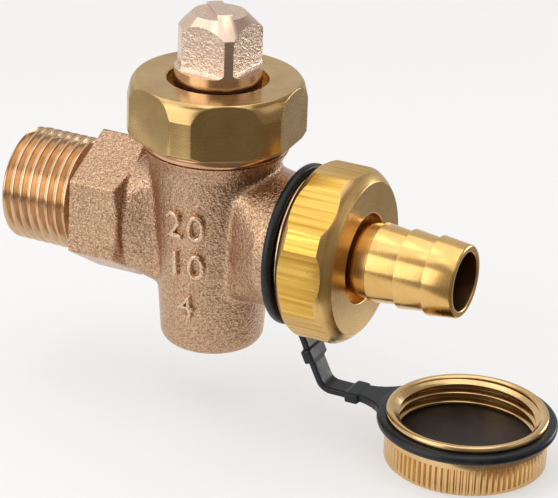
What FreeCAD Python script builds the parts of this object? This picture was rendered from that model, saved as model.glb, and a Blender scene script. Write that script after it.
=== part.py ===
import FreeCAD, Part
import math
import os

os.makedirs("parts", exist_ok=True)
V = FreeCAD.Vector

# Drain cock with a taper plug, a stuffing box, a hose tail and a screw cap on a rubber strap.
# Millimetres. X runs along the flow from inlet to outlet, Z is the plug's axis upwards,
# and the origin is the middle of the shoulder that the inlet thread ends on.

# Inlet
INLET_THREAD_D = 20.955
INLET_THREAD_LENGTH = 15.0
INLET_THREAD_CHAMFER = 1.1
INLET_THREAD_PITCH = 1.814
INLET_THREAD_DEPTH = 1.1
INLET_THREAD_LAND = 0.3
INLET_HEX_AF = 22.6
INLET_HEX_LENGTH = 8.7
INLET_HEX_CHAMFER = 1.3
INLET_HEX_CHAMFER_DEPTH = 2.6
INLET_NECK_D = 22.0
FLOW_BORE_D = 10.4

# Barrel of the body
PLUG_X = 23.6
BARREL_DEPTH = 22.4
BARREL_BASE_D = 18.9
BARREL_BASE_ROUND = 2.4
BARREL_TOP_D = 23.6
BARREL_TOP_Z = 13.0
RIM_Z = 15.5
RIM_HEIGHT = 2.1
RIM_STEP = 0.9
SPIGOT_LENGTH = 5.4
SPIGOT_WALL = 2.5

# Castings that join the barrel to the inlet and the outlet
NECK_REACH = 4.3
NECK_FLARE = 1.0
NECK_HALF_WIDTH = 7.2
NECK_CORNER_ANGLE = 25.0
BOSS_HALF_WIDTH = 7.8
BOSS_TOP = 12.6
BOSS_BOTTOM = 11.0
BOSS_CORNER = 3.0
BOSS_START = 6.4
BOSS_LENGTH = 7.6
BOSS_CORNER_ANGLE = 12.0

# Outlet
OUTLET_NECK_D = 24.4
OUTLET_NECK_LENGTH = 16.4
STRAP_GROOVE_D = 23.6
STRAP_GROOVE_WIDTH = 2.0
OUTLET_THREAD_D = 26.441
OUTLET_THREAD_LENGTH = 6.0
OUTLET_THREAD_CHAMFER = 0.8

# Plug
PLUG_SHOULDER = 1.05
PLUG_TAPER = 0.075
PLUG_SHOULDER_Z = 9.2
PLUG_DEPTH = 15.4
PLUG_FLOOR_GAP = 1.2
PLUG_CLEARANCE = 0.1
STEM_D = 15.5
HEAD_AF = 12.05
HEAD_TURN = -4.0
HEAD_FOOT_Z = 30.2
HEAD_TOP_Z = 40.8
HEAD_TOP_D = 8.2
HEAD_RIB_WIDTH = 2.7
HEAD_RIB_HEIGHT = 1.1

# Stuffing box
PACKING_RINGS = ("lower", "upper")
PACKING_WALL = 1.95
PACKING_RING_HEIGHT = 3.6
PACKING_CLEARANCE = 0.1
FOLLOWER_SLEEVE_LENGTH = 7.0
FOLLOWER_FLANGE_STEP = 0.9
FOLLOWER_FLANGE_HEIGHT = 1.2
FOLLOWER_CLEARANCE = 0.15

# Gland nut
GLAND_NUT_AF = 29.5
GLAND_NUT_CORNER_D = 31.9
GLAND_NUT_TOP_D = 29.2
GLAND_NUT_CONE = 3.4
GLAND_NUT_FOOT_CHAMFER = 0.7
GLAND_NUT_LENGTH = 10.3
GLAND_NUT_ROOF = 3.0
GLAND_NUT_HOLE_GAP = 1.25
GLAND_NUT_TURN = 34.0
GLAND_NUT_LIFT = 0.2
THREAD_CLEARANCE = 0.12

# Hose nut, hose tail and gasket
HOSE_NUT_AF = 30.6
HOSE_NUT_CORNER_D = 31.8
HOSE_NUT_FACE_D = 27.6
HOSE_NUT_FACE_CONE = 1.7
HOSE_NUT_BACK_D = 28.6
HOSE_NUT_BACK_CONE = 1.2
HOSE_NUT_LENGTH = 10.6
HOSE_NUT_WALL = 2.5
HOSE_NUT_HOLE_D = 16.2
HOSE_NUT_TURN = 4.0
GASKET_THICKNESS = 1.5
GASKET_HOLE_D = 12.0
TAIL_FLANGE_D = 25.0
TAIL_FLANGE_THICKNESS = 1.6
TAIL_SHANK_D = 13.4
TAIL_SHANK_LENGTH = 3.0
TAIL_BORE_D = 10.4
BARB_COUNT = 3
BARB_PITCH = 5.35
BARB_CREST_D = 14.3
BARB_ROOT_D = 13.1
BARB_CREST_CHAMFER = 0.15
TAIL_END_CHAMFER = 0.35

# Rubber strap
STRAP_RING_GAP = 0.15
STRAP_RING_WALL = 2.65
STRAP_RING_CHAMFER = 0.5
STRAP_ROOT_DEPTH = 0.5
STRAP_WIDTH = 4.4
STRAP_THICKNESS = 1.2
STRAP_SLOPE = 25.5
STRAP_BEND_R = 2.6
KEEPER_WIDTH = 6.0
KEEPER_THICKNESS = 1.9
KEEPER_LENGTH = 2.6
UPPER_KEEPER_DROP = 20.4
LOWER_KEEPER_RUN = 6.1
CAP_RING_WALL = 2.0
CAP_RING_HEIGHT = 1.8
CAP_RING_CHAMFER = 0.5
GUSSET_LENGTH = 7.0
GUSSET_HALF_WIDTH = 8.5
GUSSET_BOW_PLACE = 0.7
GUSSET_BOW_SHARE = 0.28

# Screw cap and its seal
CAP_OFFSET = 51.1
CAP_TOP_DROP = 24.2
CAP_HEIGHT = 9.8
CAP_KNURL_D = 28.8
CAP_BEAD_HEIGHT = 1.1
CAP_BEAD_CHAMFER = 0.3
CAP_GROOVE_D = 27.7
CAP_GROOVE_WIDTH = 2.1
CAP_FOOT_CHAMFER = 0.5
CAP_THREAD_D = 24.12
CAP_MOUTH_CHAMFER = 0.8
CAP_FLOOR = 2.8
SEAL_THICKNESS = 1.5
SEAL_D = 25.6
SEAL_POCKET_HEIGHT = 1.9
SEAL_CLEARANCE = 0.15

# Places that several pieces share
PLUG_TOP_D = STEM_D + 2 * PLUG_SHOULDER
STUFFING_BOX_D = STEM_D + 2 * PACKING_WALL
SPIGOT_THREAD_D = STUFFING_BOX_D + 2 * SPIGOT_WALL
RIM_D = SPIGOT_THREAD_D + 2 * RIM_STEP
FOLLOWER_FLANGE_D = SPIGOT_THREAD_D - 2 * FOLLOWER_FLANGE_STEP
GLAND_NUT_HOLE_D = STEM_D + 2 * GLAND_NUT_HOLE_GAP
RIM_TOP_Z = RIM_Z + RIM_HEIGHT
SPIGOT_TOP_Z = RIM_TOP_Z + SPIGOT_LENGTH
GROOVE_X = PLUG_X + OUTLET_NECK_LENGTH
OUTLET_THREAD_X = GROOVE_X + STRAP_GROOVE_WIDTH
OUTLET_END_X = OUTLET_THREAD_X + OUTLET_THREAD_LENGTH
TAIL_FLANGE_X = OUTLET_END_X + GASKET_THICKNESS
HOSE_NUT_WALL_X = TAIL_FLANGE_X + TAIL_FLANGE_THICKNESS
HOSE_NUT_FACE_X = HOSE_NUT_WALL_X + HOSE_NUT_WALL
GLAND_NUT_Z = RIM_TOP_Z + GLAND_NUT_LIFT
GLAND_NUT_TOP_Z = GLAND_NUT_Z + GLAND_NUT_LENGTH
GLAND_ROOF_Z = GLAND_NUT_TOP_Z - GLAND_NUT_ROOF
CAP_X = PLUG_X + CAP_OFFSET
CAP_TOP_Z = -CAP_TOP_DROP
CAP_GROOVE_TOP_Z = CAP_TOP_Z - CAP_BEAD_HEIGHT
STRAP_Z = CAP_GROOVE_TOP_Z - CAP_GROOVE_WIDTH / 2
STRAP_RING_INNER_D = STRAP_GROOVE_D + 2 * STRAP_RING_GAP
STRAP_RING_OUTER_D = STRAP_RING_INNER_D + 2 * STRAP_RING_WALL
STRAP_RING_X = GROOVE_X + STRAP_GROOVE_WIDTH / 2
CAP_RING_INNER_D = CAP_GROOVE_D + 2 * STRAP_RING_GAP
CAP_RING_OUTER_D = CAP_RING_INNER_D + 2 * CAP_RING_WALL


def outline(points):
    """Closed face from (a, b) points; a point written (mid, end) is reached by an arc through mid."""
    edges = []
    corners = [p if isinstance(p[0], (int, float)) else p[1] for p in points]
    for index, point in enumerate(points):
        start = V(corners[index - 1][0], 0, corners[index - 1][1])
        end = V(corners[index][0], 0, corners[index][1])
        if isinstance(point[0], (int, float)):
            edges.append(Part.LineSegment(start, end).toShape())
        else:
            middle = V(point[0][0], 0, point[0][1])
            edges.append(Part.Arc(start, middle, end).toShape())
    return Part.Face(Part.Wire(Part.__sortEdges__(edges)))


def turned_z(points, x=0.0):
    """Solid turned about a vertical axis at x; the points are (radius, height)."""
    solid = outline(points).revolve(V(0, 0, 0), V(0, 0, 1), 360)
    solid.translate(V(x, 0, 0))
    return solid


def turned_x(points):
    """Solid turned about the flow axis; the points are (station, radius)."""
    return outline(points).revolve(V(0, 0, 0), V(1, 0, 0), 360)


def tube_x(inner_d, outer_d, start, end):
    """Plain tube along the flow axis."""
    return turned_x([(start, inner_d / 2), (end, inner_d / 2), (end, outer_d / 2), (start, outer_d / 2)])


def tube_z(inner_d, outer_d, bottom, top, x=0.0):
    """Plain upright tube, or a disc where the inner diameter is 0."""
    inner_r = inner_d / 2
    outer_r = outer_d / 2
    return turned_z([(inner_r, bottom), (outer_r, bottom), (outer_r, top), (inner_r, top)], x)


def round_middle(centre, corner_a, corner_b):
    """Middle point of the quarter arc about centre that joins two corners of a rounding."""
    half = ((corner_a[0] + corner_b[0]) / 2 - centre[0], (corner_a[1] + corner_b[1]) / 2 - centre[1])
    radius = math.dist(corner_a, centre)
    reach = math.hypot(*half)
    return (centre[0] + half[0] * radius / reach, centre[1] + half[1] * radius / reach)


def polygon_ring(sides, across_flats, turn):
    """Corners of a regular polygon, with the middle of its first flat at the angle turn."""
    corner_r = across_flats / 2 / math.cos(math.pi / sides)
    angles = [math.radians(turn) + math.pi / sides * (2 * k + 1) for k in range(sides)]
    return [(corner_r * math.cos(a), corner_r * math.sin(a)) for a in angles]


def prism_x(sides, across_flats, turn, start, end):
    """Bar along X; its flats are counted from the side of -Y upwards."""
    corners = [V(start, -a, b) for a, b in polygon_ring(sides, across_flats, turn)]
    return Part.Face(Part.makePolygon(corners + corners[:1])).extrude(V(end - start, 0, 0))


def prism_z(sides, across_flats, turn, bottom, top):
    """Upright bar; its flats are counted from the side of -Y towards +X."""
    corners = [V(b, -a, bottom) for a, b in polygon_ring(sides, across_flats, turn)]
    return Part.Face(Part.makePolygon(corners + corners[:1])).extrude(V(0, 0, top - bottom))


def loop_at(x, half_width, bottom, top, corner):
    """Upright rounded loop of eight edges, four sides and four corners, about the flow axis."""
    sides = []
    for y_sign, z_sign in ((1, 1), (-1, 1), (-1, -1), (1, -1)):
        height = top if z_sign > 0 else -bottom
        centre = (y_sign * (half_width - corner), height - z_sign * corner)
        ends = [(y_sign * half_width, centre[1]), (centre[0], height)]
        if y_sign * z_sign < 0:
            ends.reverse()
        sides.append((centre, ends))
    edges = []
    for index, (centre, ends) in enumerate(sides):
        middle = round_middle(centre, *ends)
        a, b = (V(x, *p) for p in ends)
        edges.append(Part.Arc(a, V(x, *middle), b).toShape())
        following = V(x, *sides[(index + 1) % 4][1][0])
        edges.append(Part.LineSegment(b, following).toShape())
    return Part.Wire(edges)


def circle_loop_at(x, radius, corner_angle):
    """Circle about the flow axis in eight arcs, the corner arcs as wide as twice corner_angle."""
    edges = []
    marks = []
    for quarter in range(4):
        middle = 45 + 90 * quarter
        marks += [middle - corner_angle, middle + corner_angle]
    for index, start in enumerate(marks):
        end = marks[(index + 1) % 8]
        end += 360 if end < start else 0
        points = []
        for angle in (start, (start + end) / 2, end):
            turn = math.radians(angle)
            points.append(V(x, radius * math.cos(turn), radius * math.sin(turn)))
        edges.append(Part.Arc(*points).toShape())
    return Part.Wire(edges)


def barrel_radius(z):
    """Radius of the tapered casting at a height."""
    share = (z + BARREL_DEPTH) / (BARREL_TOP_Z + BARREL_DEPTH)
    return (BARREL_BASE_D + (BARREL_TOP_D - BARREL_BASE_D) * share) / 2


def plug_radius(z):
    """Radius of the plug's taper at a height."""
    return PLUG_TOP_D / 2 - PLUG_TAPER * (PLUG_SHOULDER_Z - z)


def barrel():
    """Tapered cup with a rounded base, the turned rim and the threaded spigot on top."""
    base = -BARREL_DEPTH
    centre = (BARREL_BASE_D / 2 - BARREL_BASE_ROUND, base + BARREL_BASE_ROUND)
    foot = (centre[0], base)
    side = (BARREL_BASE_D / 2, centre[1])
    rounding = round_middle(centre, foot, side)
    return turned_z([
        (0, base), foot, (rounding, side),
        (BARREL_TOP_D / 2, BARREL_TOP_Z),
        (RIM_D / 2, RIM_Z), (RIM_D / 2, RIM_TOP_Z),
        (SPIGOT_THREAD_D / 2, RIM_TOP_Z), (SPIGOT_THREAD_D / 2, SPIGOT_TOP_Z),
        (0, SPIGOT_TOP_Z),
    ], PLUG_X)


def thread_rings(start, end, radius):
    """Outline of the inlet thread as rings: narrow crests a pitch apart, with V grooves between them."""
    grooves = int((end - start - INLET_THREAD_LAND) / INLET_THREAD_PITCH)
    outline = []
    for index in range(grooves):
        crest = start + index * INLET_THREAD_PITCH
        root = crest + (INLET_THREAD_PITCH + INLET_THREAD_LAND) / 2
        outline += [(crest, radius), (crest + INLET_THREAD_LAND, radius), (root, radius - INLET_THREAD_DEPTH)]
    return outline + [(start + grooves * INLET_THREAD_PITCH, radius), (end, radius)]


def inlet():
    """Threaded end, hexagon and the neck that blends into the barrel."""
    r = INLET_THREAD_D / 2
    end = -INLET_THREAD_LENGTH
    crests = thread_rings(end + INLET_THREAD_CHAMFER, 0, r)
    thread = turned_x([(end, 0), (end, r - INLET_THREAD_CHAMFER)] + crests + [(0, 0)])
    hexagon = prism_x(6, INLET_HEX_AF, 0, 0, INLET_HEX_LENGTH)
    corner_r = INLET_HEX_AF / math.sqrt(3)
    chamfer = turned_x([
        (0, 0), (0, corner_r), (INLET_HEX_LENGTH - INLET_HEX_CHAMFER, corner_r),
        (INLET_HEX_LENGTH, corner_r - INLET_HEX_CHAMFER_DEPTH), (INLET_HEX_LENGTH, 0),
    ])
    neck_r = INLET_NECK_D / 2
    neck_start = circle_loop_at(INLET_HEX_LENGTH - INLET_HEX_CHAMFER, neck_r, NECK_CORNER_ANGLE)
    root_x = PLUG_X - barrel_radius(0) + NECK_REACH
    root_height = neck_r + NECK_FLARE
    root = loop_at(root_x, NECK_HALF_WIDTH, root_height, root_height, BOSS_CORNER)
    neck = Part.makeLoft([neck_start, root], True, True)
    return thread.multiFuse([hexagon.common(chamfer), neck])


def outlet():
    """Flat-sided boss that flares from the barrel to the round neck, and the outlet thread."""
    boss_x = PLUG_X + BOSS_START
    neck_x = boss_x + BOSS_LENGTH
    root = loop_at(boss_x, BOSS_HALF_WIDTH, BOSS_BOTTOM, BOSS_TOP, BOSS_CORNER)
    neck_end = circle_loop_at(neck_x, OUTLET_NECK_D / 2, BOSS_CORNER_ANGLE)
    boss = Part.makeLoft([root, neck_end], True, True)
    thread_r = OUTLET_THREAD_D / 2
    neck_r = OUTLET_NECK_D / 2
    groove_r = STRAP_GROOVE_D / 2
    neck = turned_x([
        (PLUG_X, 0), (PLUG_X, BOSS_HALF_WIDTH), (boss_x, BOSS_HALF_WIDTH), (neck_x, neck_r),
        (GROOVE_X, neck_r), (GROOVE_X, groove_r), (OUTLET_THREAD_X, groove_r), (OUTLET_THREAD_X, thread_r),
        (OUTLET_END_X - OUTLET_THREAD_CHAMFER, thread_r),
        (OUTLET_END_X, thread_r - OUTLET_THREAD_CHAMFER), (OUTLET_END_X, 0),
    ])
    return boss.fuse(neck)


def valve_body():
    """Casting with the taper seat, the stuffing box and the bore through it."""
    floor_z = -PLUG_DEPTH - PLUG_FLOOR_GAP
    seat_top = plug_radius(PLUG_SHOULDER_Z) + PLUG_CLEARANCE
    seat_floor = plug_radius(floor_z) + PLUG_CLEARANCE
    seat = turned_z([
        (0, floor_z), (seat_floor, floor_z), (seat_top, PLUG_SHOULDER_Z),
        (STUFFING_BOX_D / 2, PLUG_SHOULDER_Z), (STUFFING_BOX_D / 2, SPIGOT_TOP_Z), (0, SPIGOT_TOP_Z),
    ], PLUG_X)
    bore = turned_x([
        (-INLET_THREAD_LENGTH, 0), (-INLET_THREAD_LENGTH, FLOW_BORE_D / 2),
        (OUTLET_END_X, FLOW_BORE_D / 2), (OUTLET_END_X, 0),
    ])
    casting = barrel().multiFuse([inlet(), outlet()]).removeSplitter()
    return casting.cut(seat.fuse(bore))


def plug():
    """Taper plug with its port, round stem and square head with a raised rib across the top."""
    bottom_r = plug_radius(-PLUG_DEPTH)
    stem_r = STEM_D / 2
    cone_z = HEAD_TOP_Z - (stem_r - HEAD_TOP_D / 2)
    blank = turned_z([
        (0, -PLUG_DEPTH), (bottom_r, -PLUG_DEPTH), (PLUG_TOP_D / 2, PLUG_SHOULDER_Z),
        (stem_r, PLUG_SHOULDER_Z), (stem_r, cone_z), (HEAD_TOP_D / 2, HEAD_TOP_Z), (0, HEAD_TOP_Z),
    ])
    square = prism_z(4, HEAD_AF, 0, HEAD_FOOT_Z, HEAD_TOP_Z)
    flats = tube_z(0, 2 * STEM_D, HEAD_FOOT_Z, HEAD_TOP_Z).cut(square)
    step_z = HEAD_TOP_Z - HEAD_RIB_HEIGHT
    step = Part.makeBox(STEM_D, STEM_D, HEAD_RIB_HEIGHT, V(-stem_r, HEAD_RIB_WIDTH / 2, step_z))
    steps = step.fuse(step.rotated(V(0, 0, 0), V(0, 0, 1), 180)).rotated(V(0, 0, 0), V(0, 0, 1), -45)
    port = Part.makeCylinder(FLOW_BORE_D / 2, 2 * PLUG_TOP_D, V(-PLUG_TOP_D, 0, 0), V(1, 0, 0))
    head = flats.fuse(steps).rotated(V(0, 0, 0), V(0, 0, 1), HEAD_TURN)
    solid = blank.cut(head.fuse(port))
    solid.translate(V(PLUG_X, 0, 0))
    return solid


def packing_ring(index):
    """Square packing ring, lying on the shoulder of the stuffing box or on the ring below."""
    bottom = PLUG_SHOULDER_Z + PACKING_CLEARANCE + index * PACKING_RING_HEIGHT
    inner_d = STEM_D + 2 * PACKING_CLEARANCE
    outer_d = STUFFING_BOX_D - 2 * PACKING_CLEARANCE
    return tube_z(inner_d, outer_d, bottom, bottom + PACKING_RING_HEIGHT, PLUG_X)


def gland_follower():
    """Sleeve that presses the packing, with a flange under the roof of the gland nut."""
    bore_r = STEM_D / 2 + FOLLOWER_CLEARANCE
    sleeve_r = STUFFING_BOX_D / 2 - FOLLOWER_CLEARANCE
    flange_z = GLAND_ROOF_Z - FOLLOWER_FLANGE_HEIGHT
    bottom = flange_z - FOLLOWER_SLEEVE_LENGTH
    return turned_z([
        (bore_r, bottom), (sleeve_r, bottom), (sleeve_r, flange_z), (FOLLOWER_FLANGE_D / 2, flange_z),
        (FOLLOWER_FLANGE_D / 2, GLAND_ROOF_Z), (bore_r, GLAND_ROOF_Z),
    ], PLUG_X)


def gland_nut():
    """Hexagon nut with turned-off corners, a long cone at the top and a hole for the stem."""
    corner_r = GLAND_NUT_CORNER_D / 2
    hexagon = prism_z(6, GLAND_NUT_AF, GLAND_NUT_TURN, GLAND_NUT_Z, GLAND_NUT_TOP_Z)
    blank = turned_z([
        (0, GLAND_NUT_Z), (corner_r - GLAND_NUT_FOOT_CHAMFER, GLAND_NUT_Z),
        (corner_r, GLAND_NUT_Z + GLAND_NUT_FOOT_CHAMFER), (corner_r, GLAND_NUT_TOP_Z - GLAND_NUT_CONE),
        (GLAND_NUT_TOP_D / 2, GLAND_NUT_TOP_Z), (0, GLAND_NUT_TOP_Z),
    ])
    thread_r = SPIGOT_THREAD_D / 2 + THREAD_CLEARANCE
    hole_r = GLAND_NUT_HOLE_D / 2
    bore = turned_z([
        (0, GLAND_NUT_Z), (thread_r, GLAND_NUT_Z), (thread_r, GLAND_ROOF_Z),
        (hole_r, GLAND_ROOF_Z), (hole_r, GLAND_NUT_TOP_Z), (0, GLAND_NUT_TOP_Z),
    ])
    solid = hexagon.common(blank).cut(bore)
    solid.translate(V(PLUG_X, 0, 0))
    return solid


def hose_nut():
    """Octagon union nut that draws the flange of the hose tail on to the outlet."""
    back_x = HOSE_NUT_FACE_X - HOSE_NUT_LENGTH
    corner_r = HOSE_NUT_CORNER_D / 2
    octagon = prism_x(8, HOSE_NUT_AF, HOSE_NUT_TURN, back_x, HOSE_NUT_FACE_X)
    blank = turned_x([
        (back_x, 0), (back_x, HOSE_NUT_BACK_D / 2), (back_x + HOSE_NUT_BACK_CONE, corner_r),
        (HOSE_NUT_FACE_X - HOSE_NUT_FACE_CONE, corner_r), (HOSE_NUT_FACE_X, HOSE_NUT_FACE_D / 2),
        (HOSE_NUT_FACE_X, 0),
    ])
    thread_r = OUTLET_THREAD_D / 2 + THREAD_CLEARANCE
    hole_r = HOSE_NUT_HOLE_D / 2
    bore = turned_x([
        (back_x, 0), (back_x, thread_r), (HOSE_NUT_WALL_X, thread_r),
        (HOSE_NUT_WALL_X, hole_r), (HOSE_NUT_FACE_X, hole_r), (HOSE_NUT_FACE_X, 0),
    ])
    return octagon.common(blank).cut(bore)


def hose_gasket():
    """Flat ring between the outlet and the flange of the hose tail."""
    return tube_x(GASKET_HOLE_D, TAIL_FLANGE_D, OUTLET_END_X, TAIL_FLANGE_X)


def hose_tail():
    """Flanged tail with saw-tooth barbs, steep towards the nut and tapering towards the end."""
    bore_r = TAIL_BORE_D / 2
    shank_r = TAIL_SHANK_D / 2
    crest_r = BARB_CREST_D / 2
    root_r = BARB_ROOT_D / 2
    barbs_x = HOSE_NUT_FACE_X + TAIL_SHANK_LENGTH
    end_x = barbs_x + BARB_COUNT * BARB_PITCH
    profile = [
        (TAIL_FLANGE_X, bore_r), (TAIL_FLANGE_X, TAIL_FLANGE_D / 2), (HOSE_NUT_WALL_X, TAIL_FLANGE_D / 2),
        (HOSE_NUT_WALL_X, shank_r), (barbs_x, shank_r),
    ]
    for index in range(BARB_COUNT):
        step_x = barbs_x + index * BARB_PITCH
        profile += [
            (step_x, crest_r - BARB_CREST_CHAMFER), (step_x + BARB_CREST_CHAMFER, crest_r),
            (step_x + BARB_PITCH, root_r),
        ]
    profile[-1] = (end_x - TAIL_END_CHAMFER, root_r)
    profile += [
        (end_x, root_r - TAIL_END_CHAMFER), (end_x, bore_r + TAIL_END_CHAMFER),
        (end_x - TAIL_END_CHAMFER, bore_r),
    ]
    return turned_x(profile)


def soft_section(inner, outer, low, high, chamfer):
    """Outline of a ring's section, with its two outer corners taken off; points are (radius, place)."""
    return [
        (inner, low), (inner, high), (outer - chamfer, high), (outer, high - chamfer),
        (outer, low + chamfer), (outer - chamfer, low),
    ]


def strap_point(drop):
    """Middle of the sloping run of the strap at a drop below the flow axis."""
    bend_x = strap_bend_x()
    rise = -STRAP_Z - drop
    return V(bend_x - rise * math.tan(math.radians(STRAP_SLOPE)), 0, -drop)


def strap_bend_x():
    """Station where the sloping run, leaving the middle of the ring, meets the level run."""
    drop = -STRAP_Z - (STRAP_RING_INNER_D + STRAP_RING_OUTER_D) / 4
    return STRAP_RING_X + drop * math.tan(math.radians(STRAP_SLOPE))


def keeper(middle, direction):
    """Thick band round the strap, along the given direction."""
    block = Part.makeBox(
        KEEPER_LENGTH, KEEPER_WIDTH, KEEPER_THICKNESS,
        V(-KEEPER_LENGTH / 2, -KEEPER_WIDTH / 2, -KEEPER_THICKNESS / 2),
    )
    block.rotate(V(0, 0, 0), V(0, 1, 0), direction)
    block.translate(middle)
    return block


def strap_band():
    """Flat band from the neck ring down a slope, round a bend and level to the cap ring."""
    slope = math.radians(STRAP_SLOPE)
    along = V(math.sin(slope), 0, -math.cos(slope))
    start = strap_point(STRAP_RING_OUTER_D / 2 - STRAP_ROOT_DEPTH)
    corner = V(strap_bend_x(), 0, STRAP_Z)
    tangent = STRAP_BEND_R * math.tan((math.pi / 2 - slope) / 2)
    bend_start = corner - along * tangent
    bend_end = corner + V(tangent, 0, 0)
    centre = bend_end + V(0, 0, STRAP_BEND_R)
    towards = (corner - centre).normalize()
    bend = Part.Arc(bend_start, centre + towards * STRAP_BEND_R, bend_end)
    finish = V(CAP_X - CAP_RING_OUTER_D / 2 + CAP_RING_WALL / 2, 0, STRAP_Z)
    path = Part.Wire([
        Part.LineSegment(start, bend_start).toShape(), bend.toShape(),
        Part.LineSegment(bend_end, finish).toShape(),
    ])
    across = V(math.cos(slope), 0, math.sin(slope)) * (STRAP_THICKNESS / 2)
    side = V(0, STRAP_WIDTH / 2, 0)
    corners = [start - across - side, start + across - side, start + across + side, start - across + side]
    section = Part.makePolygon(corners + corners[:1])
    return path.makePipeShell([section], True, False)


def gusset():
    """Widening of the strap, with hollow sides, where it runs into the cap ring."""
    root_x = CAP_X - CAP_RING_OUTER_D / 2 + CAP_RING_WALL / 2
    narrow_x = root_x - GUSSET_LENGTH
    half = STRAP_WIDTH / 2
    wide_x = CAP_X - math.sqrt((CAP_RING_OUTER_D / 2 - CAP_RING_WALL / 2) ** 2 - GUSSET_HALF_WIDTH ** 2)
    bow_x = narrow_x + GUSSET_BOW_PLACE * (wide_x - narrow_x)
    bow_y = half + GUSSET_BOW_SHARE * (GUSSET_HALF_WIDTH - half)
    bottom = STRAP_Z - CAP_RING_HEIGHT / 2

    def at(x, y):
        return V(x, y, bottom)

    edges = [
        Part.Arc(at(narrow_x, -half), at(bow_x, -bow_y), at(wide_x, -GUSSET_HALF_WIDTH)).toShape(),
        Part.Arc(at(wide_x, -GUSSET_HALF_WIDTH), at(root_x, 0), at(wide_x, GUSSET_HALF_WIDTH)).toShape(),
        Part.Arc(at(wide_x, GUSSET_HALF_WIDTH), at(bow_x, bow_y), at(narrow_x, half)).toShape(),
        Part.LineSegment(at(narrow_x, half), at(narrow_x, -half)).toShape(),
    ]
    return Part.Face(Part.Wire(edges)).extrude(V(0, 0, CAP_RING_HEIGHT))


def retaining_strap():
    """One rubber moulding: neck ring, band with two keepers, and the ring that holds the cap."""
    half_width = STRAP_GROOVE_WIDTH / 2 - STRAP_RING_GAP
    neck_section = soft_section(
        STRAP_RING_INNER_D / 2, STRAP_RING_OUTER_D / 2,
        STRAP_RING_X - half_width, STRAP_RING_X + half_width, STRAP_RING_CHAMFER,
    )
    neck_ring = turned_z(neck_section).rotated(V(0, 0, 0), V(0, 1, 0), 90)
    cap_ring = turned_z(soft_section(
        CAP_RING_INNER_D / 2, CAP_RING_OUTER_D / 2,
        STRAP_Z - CAP_RING_HEIGHT / 2, STRAP_Z + CAP_RING_HEIGHT / 2, CAP_RING_CHAMFER,
    ), CAP_X)
    upper = keeper(strap_point(UPPER_KEEPER_DROP), 90 - STRAP_SLOPE)
    lower = keeper(V(strap_bend_x() + LOWER_KEEPER_RUN, 0, STRAP_Z), 0)
    return neck_ring.multiFuse([strap_band(), upper, lower, gusset(), cap_ring]).removeSplitter()


def screw_cap():
    """Turned cap, open side up, with a bead and a groove for the strap above the knurled wall."""
    top = CAP_TOP_Z
    bottom = top - CAP_HEIGHT
    outer_r = CAP_KNURL_D / 2
    groove_r = CAP_GROOVE_D / 2
    groove_foot = CAP_GROOVE_TOP_Z - CAP_GROOVE_WIDTH
    floor_z = bottom + CAP_FLOOR
    pocket_z = floor_z + SEAL_POCKET_HEIGHT
    pocket_r = SEAL_D / 2 + SEAL_CLEARANCE
    thread_r = CAP_THREAD_D / 2
    return turned_z([
        (0, bottom), (outer_r - CAP_FOOT_CHAMFER, bottom), (outer_r, bottom + CAP_FOOT_CHAMFER),
        (outer_r, groove_foot), (groove_r, groove_foot), (groove_r, CAP_GROOVE_TOP_Z),
        (outer_r, CAP_GROOVE_TOP_Z), (outer_r, top - CAP_BEAD_CHAMFER), (outer_r - CAP_BEAD_CHAMFER, top),
        (thread_r + CAP_MOUTH_CHAMFER, top), (thread_r, top - CAP_MOUTH_CHAMFER),
        (thread_r, pocket_z), (pocket_r, pocket_z), (pocket_r, floor_z), (0, floor_z),
    ], CAP_X)


def cap_seal():
    """Rubber disc lying on the floor of the cap, under the first turn of its thread."""
    floor_z = CAP_TOP_Z - CAP_HEIGHT + CAP_FLOOR
    return tube_z(0, SEAL_D, floor_z, floor_z + SEAL_THICKNESS, CAP_X)


PIECES = {
    "valve_body": valve_body(),
    "plug": plug(),
    "gland_follower": gland_follower(),
    "gland_nut": gland_nut(),
    "hose_gasket": hose_gasket(),
    "hose_tail": hose_tail(),
    "hose_nut": hose_nut(),
    "retaining_strap": retaining_strap(),
    "screw_cap": screw_cap(),
    "cap_seal": cap_seal(),
}
for index, place in enumerate(PACKING_RINGS):
    PIECES["packing_ring_" + place] = packing_ring(index)

for name, shape in PIECES.items():
    shape.exportStep("parts/" + name + ".step")
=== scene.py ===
import math

import bmesh
import bpy
from mathutils import Matrix, Vector


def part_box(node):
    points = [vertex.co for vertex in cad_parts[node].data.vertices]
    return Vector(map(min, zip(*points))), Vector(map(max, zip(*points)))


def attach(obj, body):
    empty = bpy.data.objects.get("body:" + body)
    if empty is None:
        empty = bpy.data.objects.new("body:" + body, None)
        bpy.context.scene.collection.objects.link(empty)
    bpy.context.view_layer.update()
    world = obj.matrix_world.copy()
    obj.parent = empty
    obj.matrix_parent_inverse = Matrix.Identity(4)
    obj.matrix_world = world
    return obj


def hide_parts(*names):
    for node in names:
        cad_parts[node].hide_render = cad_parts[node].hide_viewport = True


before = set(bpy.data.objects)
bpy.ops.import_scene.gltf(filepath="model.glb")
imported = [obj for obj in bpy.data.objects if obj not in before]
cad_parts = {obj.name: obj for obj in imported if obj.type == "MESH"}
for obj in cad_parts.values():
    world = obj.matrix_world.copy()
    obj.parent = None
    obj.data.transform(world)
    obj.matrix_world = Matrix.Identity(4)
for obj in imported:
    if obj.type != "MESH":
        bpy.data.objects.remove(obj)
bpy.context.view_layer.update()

# Lengths are millimetres in the frame's axes: X runs along the flow and Z is the plug's axis.
# Each mesh is scaled to metres when its piece is made.
MM = 0.001


def extent(node):
    """Lowest and highest corner of a CAD node, in millimetres."""
    low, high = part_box(node)
    return low / MM, high / MM


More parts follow.
